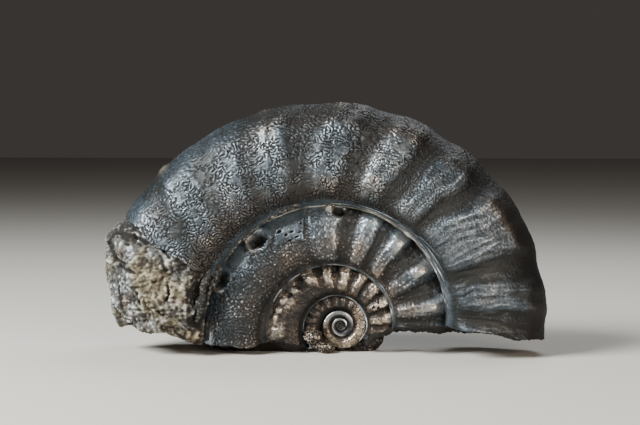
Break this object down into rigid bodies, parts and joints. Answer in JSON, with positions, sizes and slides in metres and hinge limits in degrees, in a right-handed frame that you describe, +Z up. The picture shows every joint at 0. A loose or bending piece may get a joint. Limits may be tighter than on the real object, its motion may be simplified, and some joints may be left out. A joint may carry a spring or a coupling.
{
  "type": "pyritized ammonite half",
  "caption": "Broken upper half of a coiled, ribbed fossil shell mould that stands on its rough break, with rock filling the broken mouth.",
  "frame": {"origin": "middle of the bounding box in X and Y, on the surface that the broken underside stands on", "axes": "+Z up as it stands, +X along its length with the rock plug at the -X end, -Y faces the flank seen in the picture, so the coiling axis is along Y"},
  "size_m": [0.0599, 0.0181, 0.0341],
  "materials": {
    "pyrite": "dull gunmetal lustre on the last whorl, bronze on the inner whorls, dark recesses",
    "matrix": "rough, granular, matt"
  },
  "bodies": {
    "root": {"ammonite": "pyrite", "matrix_plug": "matrix"}
  },
  "joints": []
}
